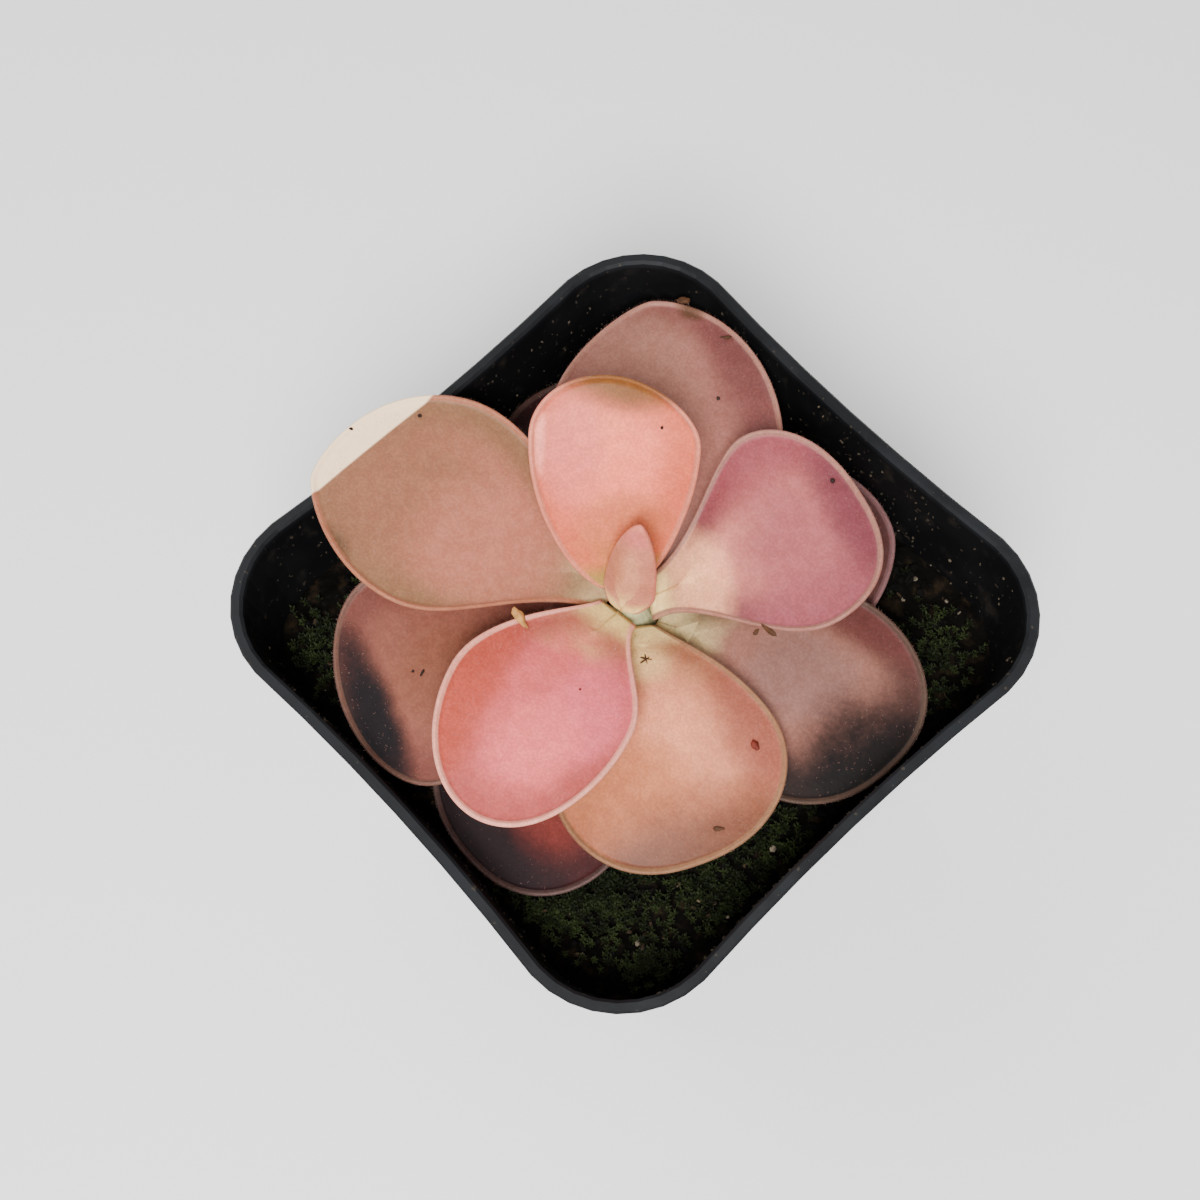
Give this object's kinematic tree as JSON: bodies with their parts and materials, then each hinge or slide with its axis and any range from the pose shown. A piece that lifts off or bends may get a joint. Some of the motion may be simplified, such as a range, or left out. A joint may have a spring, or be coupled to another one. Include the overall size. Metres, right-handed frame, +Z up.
{
  "type": "potted butterwort",
  "caption": "Potted carnivorous rosette: broad fleshy oval leaves with upturned edges spiral round a short stem, in a tapered square nursery pot filled with soil.",
  "frame": {"origin": "centre of the flat underside of the pot", "axes": "+Z up along the pot's middle, +X and +Y square to its sides; the picture looks from azimuth 53 degrees, 69 degrees above the horizon"},
  "size_m": [0.0709, 0.07, 0.0787],
  "materials": {
    "pot": "fine matte, slightly grey rim",
    "soil": "rough damp peat with grit and moss",
    "crown": "pale green, soft",
    "leaf_01": "fleshy, moist, with fine glandular hairs",
    "leaf_02": "fleshy, moist, with fine glandular hairs",
    "leaf_03": "fleshy, moist, with fine glandular hairs",
    "leaf_04": "fleshy, moist, with fine glandular hairs",
    "leaf_05": "fleshy, moist, with fine glandular hairs",
    "leaf_06": "fleshy, moist, with fine glandular hairs",
    "leaf_07": "fleshy, moist, with fine glandular hairs",
    "leaf_08": "fleshy, moist, with fine glandular hairs",
    "leaf_09": "fleshy, moist, with fine glandular hairs",
    "leaf_10": "fleshy, moist, with fine glandular hairs",
    "leaf_11": "fleshy, moist, with fine glandular hairs",
    "leaf_12": "fleshy, moist, with fine glandular hairs"
  },
  "bodies": {
    "root": {"pot": "pot", "soil": "soil", "crown": "crown", "leaf_01": "leaf_01", "leaf_02": "leaf_02", "leaf_03": "leaf_03", "leaf_04": "leaf_04", "leaf_05": "leaf_05", "leaf_06": "leaf_06", "leaf_07": "leaf_07", "leaf_08": "leaf_08", "leaf_09": "leaf_09", "leaf_10": "leaf_10", "leaf_11": "leaf_11", "leaf_12": "leaf_12"}
  },
  "joints": []
}
